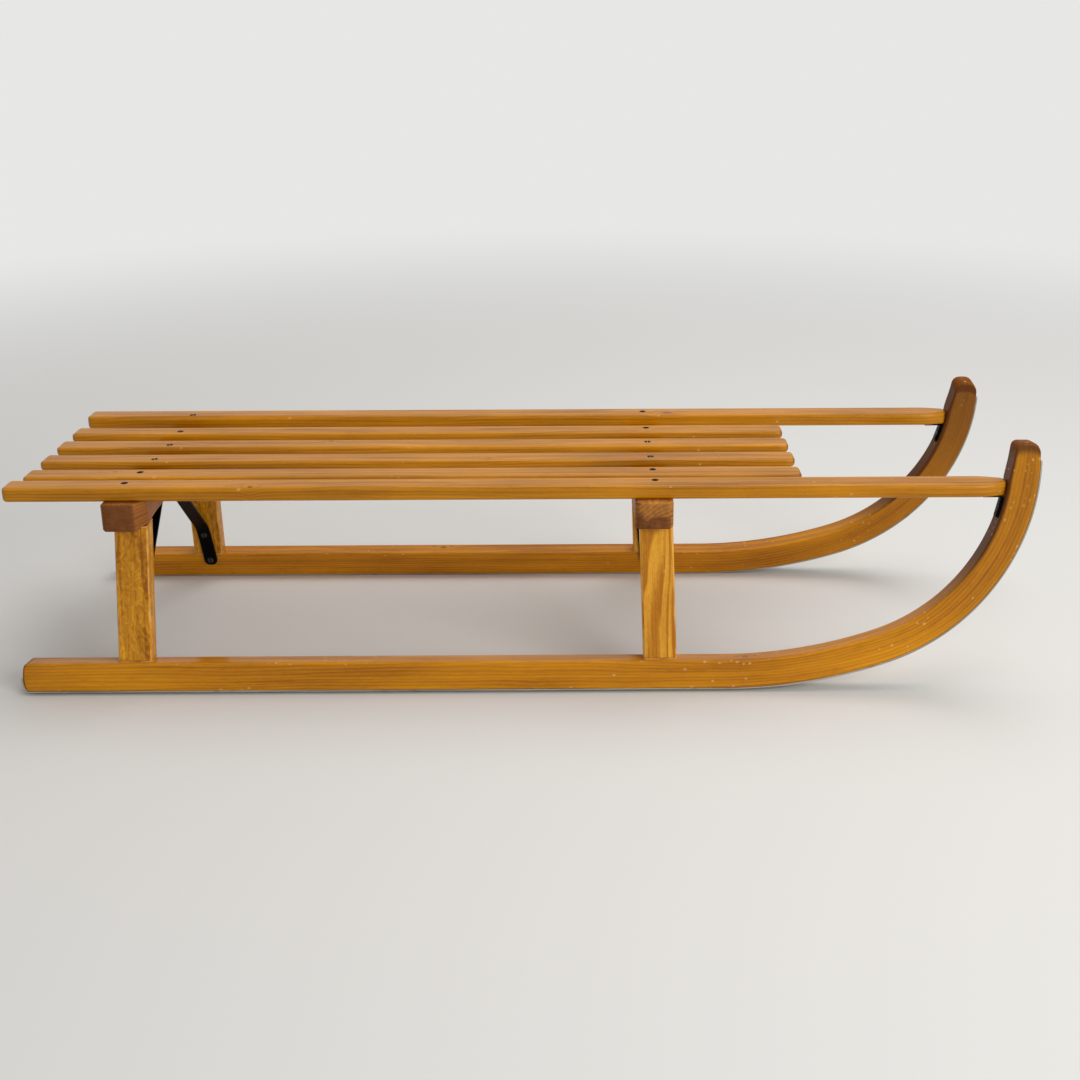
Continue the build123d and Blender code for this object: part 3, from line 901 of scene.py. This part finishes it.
def stay_line(crown_level):
    """The bent line of a stay's outer side, from the right foot over the crown to the left one."""
    corners = [side_frame(-1) @ Vector((0, height, -RUNNER_WIDTH))
               for height in (STAY_FOOT_HEIGHT, STAY_KNEE_HEIGHT)]
    corners.append(Vector((0, -STAY_CROWN_HALF, crown_level)))
    corners += [Vector((0, -corner.y, corner.z)) for corner in reversed(corners)]
    mesh = bpy.data.meshes.new("stay_line")
    mesh.from_pydata([corner[:] for corner in corners],
                     [(place, place + 1) for place in range(len(corners) - 1)], [])
    half = [0.0, STAY_KNEE_ROUND, STAY_CROWN_ROUND]
    mesh.attributes.new("bend_round", "FLOAT", "POINT").data.foreach_set("value", half + half[::-1])
    return mesh


def stay_place(end):
    """How far forward the middle of a stay's foot stands."""
    low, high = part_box(end + "_stay")
    return (low.x + high.x) / 2 + STAY_FOOT_AHEAD


strap_tree = build_strap_tree()
for end in ENDS:
    stay = made_by(strap_tree, end + "_stay", {
        **STAY_CUTS, "Size": (0.0, STAY_WIDTH, STAY_THICKNESS), "Edge Round": (STAY_EDGE_ROUND,) * 3,
        "Knot": NO_KNOT, "Foot Round": STAY_FOOT_ROUND, "Place": stay_place(end),
        "Lean Back": STAY_LEAN_BACK, "Lean From": STAY_LEAN_LEVELS[0],
        "Lean To": STAY_LEAN_LEVELS[1], "Material": stay_iron,
    }, start=stay_line(beam_underside(end, 0)))
    dress(stay, "stay_iron", end + "_stay")

# The seat. Two thick side slats run on to the horns, where they narrow to a nose, and four thinner
# slats lie between them. All have rounded edges and corners and are screwed down on the beams.
SIDE_SLAT_ROUND = 5 * MM
SIDE_SLAT_CORNER = 8 * MM
SIDE_SLAT_NOSE_LENGTH = 24 * MM
SIDE_SLAT_NOSE_WIDTH = 12 * MM
SIDE_SLAT_NOSE_ROUND = 5.5 * MM
SIDE_SLAT_SHOULDER = 5 * MM
SIDE_SLAT_CUTS = {"Cuts Along": 150, "Cuts Across": 6, "Round Steps": 4}
SIDE_SLAT_HEARTS = {"right": (0.10, 0.03, 0.07), "left": (0.55, -0.02, 0.09)}
SIDE_SLAT_KNOTS = {"right": (-0.27, -0.011, 2.2 * MM), "left": (0.185, -0.006, 5 * MM)}
HORN_GAP = 0.3 * MM
MIDDLE_SLAT_ROUND = 4 * MM
MIDDLE_SLAT_CORNER = 6 * MM
MIDDLE_SLAT_CUTS = {"Cuts Along": 120, "Cuts Across": 6, "Round Steps": 4}
MIDDLE_SLAT_HEARTS = {
    "middle_slat_1": (1.21, -0.035, 0.062), "middle_slat_2": (1.52, 0.035, 0.074),
    "middle_slat_3": (1.83, -0.035, 0.086), "middle_slat_4": (2.14, 0.035, 0.098),
}
MIDDLE_SLAT_KNOTS = {
    "middle_slat_1": (-0.33, 0.004, 2 * MM), "middle_slat_2": (0.08, -0.006, 2 * MM),
    "middle_slat_3": (-0.11, 0.007, 2.4 * MM), "middle_slat_4": (0.26, 0.003, 2 * MM),
}
slat_wood = wood_material("slat_ash", {
    "Pale": (206, 136, 8), "Dark": (132, 78, 0), "Bare": (230, 186, 126), "End Grain": (96, 54, 14),
    "Rings": 80.0, "Ring Contrast": 0.3, "Pore Contrast": 0.3, "Mottle": 0.04, "Edge Wear And Highlight": 0.26,
    "Chips": 0.2, "Horn Stain And Shadow": 0.0, "Gloss": 0.38,
})


def build_slat_tree():
    """One slat, narrowed at its ends, and cut off where it meets the back of a horn."""
    tree, given, exit_node = piece_tree("slat", [
        "Rear Corner", "Nose Length", "Nose Width", "Nose Round", "Shoulder",
    ], vectors=["Middle", "Cut Place", "Cut Facing"])
    bar = add_bar(tree, given)
    x, y, z = position(tree).parts()
    length, width, depth = given["Size"].parts()
    nose_width, facing = given["Nose Width"], given["Cut Facing"]
    from_rear, from_tip = x + length / 2, length / 2 - x
    half_width = width / 2
    rear_half = half_width - corner_cut(from_rear, given["Rear Corner"])
    nose_half = nose_width / 2 + (width - nose_width) / 2 * (from_tip / given["Nose Length"])
    nose_half = nose_half.do("SMOOTH_MIN", half_width, given["Shoulder"]).do("MINIMUM", half_width)
    nose_half = nose_half - corner_cut(from_tip, given["Nose Round"]) * 0.5
    narrowed = y * rear_half.do("MINIMUM", nose_half) / half_width
    shaped = joined(tree, x, narrowed, z) + given["Middle"]
    over_x, over_y, over_z = ((shaped - given["Cut Place"]) * facing).parts()
    over = ((over_x + over_y + over_z) / facing.parts()[0]).do("MAXIMUM", 0.0)
    return finish_piece(given, exit_node, bar, shaped - joined(tree, over, 0.0, 0.0))


def horn_back_at(side, y, z):
    """The slanted plane behind a horn at the height of a slat: a point on it, and its slope."""
    local = side_frame(side).inverted() @ Vector((0, y, z))
    radius = SECOND_BEND_RADIUS - RUNNER_TOP
    second_centre_y = FIRST_BEND_RADIUS - (
        (FIRST_BEND_RADIUS - SECOND_BEND_RADIUS) * math.cos(FIRST_BEND_ANGLE))
    drop = second_centre_y - local.y
    local.x = second_centre_x + math.sqrt(radius**2 - drop**2)
    return local, math.asin(drop / radius)


slat_tree = build_slat_tree()
for name, side in SIDES.items():
    low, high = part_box("side_slat_" + name)
    middle = (low + high) / 2
    back, slope = horn_back_at(side, middle.y, middle.z)
    high.x = back.x + (high.z - low.z) / 2 * math.tan(slope)
    facing = side_frame(side).to_3x3() @ Vector((math.cos(slope), -math.sin(slope), 0))
    slat = made_by(slat_tree, "side_slat_" + name, {
        **SIDE_SLAT_CUTS, "Size": tuple(high - low), "Edge Round": (SIDE_SLAT_ROUND,) * 3,
        "Heart": SIDE_SLAT_HEARTS[name], "Knot": SIDE_SLAT_KNOTS[name],
        "Middle": tuple((low + high) / 2), "Rear Corner": SIDE_SLAT_CORNER,
        "Nose Length": SIDE_SLAT_NOSE_LENGTH, "Nose Width": SIDE_SLAT_NOSE_WIDTH,
        "Nose Round": SIDE_SLAT_NOSE_ROUND, "Shoulder": SIDE_SLAT_SHOULDER,
        "Cut Place": tuple(side_frame(side) @ back - facing * HORN_GAP),
        "Cut Facing": tuple(facing), "Material": slat_wood,
    })
    dress(slat, "slat_wood", "side_slat_" + name)
for name, heart in MIDDLE_SLAT_HEARTS.items():
    low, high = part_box(name)
    slat = made_by(slat_tree, name, {
        **MIDDLE_SLAT_CUTS, "Size": tuple(high - low), "Edge Round": (MIDDLE_SLAT_ROUND,) * 3,
        "Heart": heart, "Knot": MIDDLE_SLAT_KNOTS[name], "Middle": tuple((low + high) / 2),
        "Rear Corner": MIDDLE_SLAT_CORNER, "Nose Length": MIDDLE_SLAT_CORNER,
        "Nose Width": high.y - low.y, "Nose Round": 2 * MIDDLE_SLAT_CORNER,
        "Cut Place": tuple(high), "Cut Facing": (1.0, 0.0, 0.0), "Material": slat_wood,
    })
    dress(slat, "slat_wood", name)

# The screws. Slotted iron screws hold every slat down on both beams, fasten the stays to the legs
# and runners, and, as steel ones countersunk from below, hold the shoes on.
SCREW_RADIUS = 3.9 * MM
SCREW_DOME = 0.5 * MM
SCREW_SINK = 0.6 * MM
SCREW_SLOT = 0.28
SCREW_SLOT_DEPTH = 0.55 * MM
SCREW_SLOT_FLOOR = 0.9
SCREW_COLUMNS = [0.25, 0.5, 0.75, 0.93, 1]
SCREW_ROWS = 8
SCREW_SEED = 7
WELD = 0.01 * MM
screw_steel = steel_material("screw_steel", {
    "Bright": (84, 84, 86), "Dull": (34, 34, 36), "Rust": (52, 36, 26), "Rust Share": 0.4,
    "Bare Metal": 1.0,
})


def screw_head(name):
    """A domed head of radius 1 with a straight slot. Its depths are real ones, over SCREW_RADIUS."""
    slot = SCREW_SLOT / 2
    half = [slot * SCREW_SLOT_FLOOR, slot, *SCREW_COLUMNS]
    columns = [-column for column in reversed(half)] + half
    rows = [math.sin(step * QUARTER_TURN / SCREW_ROWS) for step in range(-SCREW_ROWS, SCREW_ROWS + 1)]
    shape = bmesh.new()
    grid = []
    for x in columns:
        line = []
        for row in rows:
            y = row * math.sqrt(1 - x * x)
            dome = SCREW_DOME * (1 - x * x - y * y)
            depth = dome - SCREW_SLOT_DEPTH if abs(x) < slot else dome
            line.append(shape.verts.new((x, y, depth / SCREW_RADIUS)))
        grid.append(line)
    for left, right in zip(grid, grid[1:]):
        for place in range(len(rows) - 1):
            shape.faces.new((left[place], right[place], right[place + 1], left[place + 1]))
    bmesh.ops.remove_doubles(shape, verts=shape.verts, dist=WELD)
    rim = [edge for edge in shape.edges if edge.is_boundary]
    skirt = bmesh.ops.extrude_edge_only(shape, edges=rim)["geom"]
    for part in skirt:
        if isinstance(part, bmesh.types.BMVert):
            part.co.z = -(SCREW_SINK + SCREW_SLOT_DEPTH) / SCREW_RADIUS
    bmesh.ops.contextual_create(shape, geom=[edge for edge in shape.edges if edge.is_boundary])
    bmesh.ops.recalc_face_normals(shape, faces=shape.faces)
    mesh = bpy.data.meshes.new(name)
    shape.to_mesh(mesh)
    shape.free()
    return placed(name, mesh)


def build_screw_tree():
    """A screw head on every point, facing as the point says, with its slot turned at random."""
    tree, given, exit_node = geometry_tree("screws", {
        "Object": ["Head"], "Float": ["Radius"], "Int": ["Seed"], "Material": ["Material"]})
    head = node(tree, "GeometryNodeObjectInfo", {"Object": given["Head"], "As Instance": True})
    facing = node(tree, "GeometryNodeInputNamedAttribute", {"Name": "facing"}, data_type="FLOAT_VECTOR")
    spin = node(tree, "FunctionNodeRandomValue", {"Seed": given["Seed"]}, data_type="FLOAT")
    turned = node(tree, "FunctionNodeEulerToRotation",
                  {0: joined(tree, 0.0, 0.0, Sum(spin.outputs[1]) * math.pi)})
    aimed = node(tree, "FunctionNodeAlignRotationToVector", {"Vector": facing.outputs[0]}, axis="Z")
    both = node(tree, "FunctionNodeRotateRotation",
                {0: aimed.outputs[0], 1: turned.outputs[0]}, rotation_space="LOCAL")
    set_in = node(tree, "GeometryNodeInstanceOnPoints", {
        "Points": given["Geometry"], "Instance": head.outputs["Geometry"],
        "Rotation": both.outputs[0], "Scale": joined(tree, *[given["Radius"]] * 3),
    })
    return finish_piece(given, exit_node, set_in.outputs[0])


screw_tree = build_screw_tree()
head = screw_head("screw_head")


def screws(name, slot, places, radius, material):
    """A row of screws. Each place is a point on a surface, and the way out of it."""
    points = bpy.data.meshes.new(name + "_points")
    points.from_pydata([place[:] for place, facing in places], [], [])
    facings = points.attributes.new("facing", "FLOAT_VECTOR", "POINT")
    facings.data.foreach_set("vector", [part for place, facing in places for part in facing])
    row = made_by(screw_tree, name, {"Head": head, "Radius": radius, "Seed": SCREW_SEED,
                                     "Material": material}, start=points)
    row.data.set_sharp_from_angle(angle=SHARP_ANGLE)
    dress(row, slot)


# The screws of the seat are given in millimetres, from the right-hand side slat to the left-hand one.
SEAT_SCREWS = {
    "rear": [(-424, -124.7), (-423.5, -73.5), (-420.8, -29), (-418.4, 22), (-420.3, 73), (-417.4, 121)],
    "front": [(142.2, -123), (142.2, -72), (141.9, -28), (141.1, 25), (141.7, 79), (139.6, 127)],
}
slat_names = ["side_slat_right", *MIDDLE_SLAT_HEARTS, "side_slat_left"]
seat_places = [(Vector((x * MM, y * MM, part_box(name)[1].z)), (0, 0, 1))
               for row in SEAT_SCREWS.values() for name, (x, y) in zip(slat_names, row)]
screws("seat_screws", "stay_iron", seat_places, SCREW_RADIUS, stay_iron)

STAY_SCREW_RADIUS = 4 * MM
STAY_SCREW_HEIGHTS = (26.7 * MM, 64.5 * MM)
stay_places = []
for end in ENDS:
    for side in SIDES.values():
        turn = side_frame(side)
        for height in STAY_SCREW_HEIGHTS:
            point = turn @ Vector((0, height, side * (RUNNER_WIDTH + STAY_THICKNESS)))
            lean_from, lean_to = STAY_LEAN_LEVELS
            share = (point.z - lean_from) / (lean_to - lean_from)
            point.x = stay_place(end) - STAY_LEAN_BACK * share * share * (3 - 2 * share)
            stay_places.append((point, turn.to_3x3() @ Vector((0, 0, side))))
screws("stay_screws", "stay_iron", stay_places, STAY_SCREW_RADIUS, screw_steel)

SHOE_SCREW_RADIUS = 3 * MM
SHOE_SCREWS_FLAT = 5
SHOE_SCREW_INSET = 45 * MM
SHOE_SCREWS_BEND = (14, 34, 58, 82)
first_screw_x = shoe_low.x + SHOE_SCREW_INSET
screw_step = (bend_x - SHOE_SCREW_INSET - first_screw_x) / (SHOE_SCREWS_FLAT - 1)
for name, side in SIDES.items():
    turn = side_frame(side)
    centre_z = side * RUNNER_WIDTH / 2
    shoe_places = [(Vector((first_screw_x + screw_step * step, 0, centre_z)), Vector((0, -1, 0)))
                   for step in range(SHOE_SCREWS_FLAT)]
    for degrees in SHOE_SCREWS_BEND:
        angle = math.radians(degrees)
        first = min(angle, FIRST_BEND_ANGLE)
        x = (bend_x + FIRST_BEND_RADIUS * math.sin(first)
             + SECOND_BEND_RADIUS * (math.sin(angle) - math.sin(first)))
        y = (FIRST_BEND_RADIUS * (1 - math.cos(first))
             + SECOND_BEND_RADIUS * (math.cos(first) - math.cos(angle)))
        out = Vector((math.sin(angle), -math.cos(angle), 0))
        shoe_places.append((Vector((x, y, centre_z)) - out * SCREW_DOME, out))
    shoe_places = [(turn @ point, turn.to_3x3() @ out) for point, out in shoe_places]
    screws("shoe_screws_" + name, "shoe_steel", shoe_places, SHOE_SCREW_RADIUS, shoe_steel)

# The horn irons. A short black iron, bent to a right angle, lies under each side slat's nose and down
# the back of the horn, with a screw in it. It is a dark piece that stands in for the slat's shadow on the
# horn.
ANGLE_WIDTH = 12 * MM
ANGLE_THICKNESS = 2 * MM
ANGLE_UNDER_SLAT = 22 * MM
ANGLE_DOWN_HORN = 24 * MM
ANGLE_BEND_ROUND = 4 * MM
ANGLE_BEND_STEPS = 6
ANGLE_CLEARANCE = 0.2 * MM
ANGLE_SCREW_RADIUS = 2.8 * MM
ANGLE_SCREW_SHARE = 0.6


def build_flat_iron_tree():
    """A flat iron along a bent line of points, with rounded bends and an even width and thickness."""
    tree, given, exit_node = geometry_tree("flat_iron", {
        "Float": ["Width", "Thickness", "Bend Round"], "Int": ["Bend Steps"], "Material": ["Material"]})
    line = bent_line(tree, given, given["Bend Round"])
    level = node(tree, "GeometryNodeSetCurveNormal", {"Curve": line}, mode="Z_UP")
    section = node(tree, "GeometryNodeCurvePrimitiveQuadrilateral",
                   {"Width": given["Thickness"], "Height": given["Width"]})
    bar = node(tree, "GeometryNodeCurveToMesh",
               {"Curve": level.outputs[0], "Profile Curve": section.outputs[0], "Fill Caps": True})
    return finish_piece(given, exit_node, bar.outputs[0])


flat_iron_tree = build_flat_iron_tree()
shadow_iron_screw_places = []
for name, side in SIDES.items():
    low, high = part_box("side_slat_" + name)
    turn = side_frame(side)
    back, slope = horn_back_at(side, (low.y + high.y) / 2, low.z - ANGLE_DOWN_HORN / 2)
    back.z = side * RUNNER_WIDTH / 2
    away = Vector((-math.cos(slope), math.sin(slope), 0))
    climb = turn.to_3x3() @ Vector((math.sin(slope), math.cos(slope), 0))
    knee = turn @ (back + away * (ANGLE_THICKNESS / 2 + ANGLE_CLEARANCE))
    knee += climb * (low.z - ANGLE_THICKNESS / 2 - ANGLE_CLEARANCE - knee.z) / climb.z
    foot = knee - climb * ANGLE_DOWN_HORN
    tail = knee - Vector((ANGLE_UNDER_SLAT, 0, 0))
    points = bpy.data.meshes.new("horn_angle_points")
    points.from_pydata([(turn.inverted() @ point)[:] for point in (tail, knee, foot)],
                       [(0, 1), (1, 2)], [])
    angle = made_by(flat_iron_tree, "horn_angle_" + name, {
        "Width": ANGLE_WIDTH, "Thickness": ANGLE_THICKNESS, "Bend Round": ANGLE_BEND_ROUND,
        "Bend Steps": ANGLE_BEND_STEPS, "Material": stay_iron,
    }, turn, points)
    dress(angle, "stay_iron")
    out = turn.to_3x3() @ away
    shadow_iron_screw_places.append((knee.lerp(foot, ANGLE_SCREW_SHARE) + out * ANGLE_THICKNESS / 2, out))
screws("horn_angle_screws", "stay_iron", shadow_iron_screw_places, ANGLE_SCREW_RADIUS, screw_steel)
bpy.data.objects.remove(head)
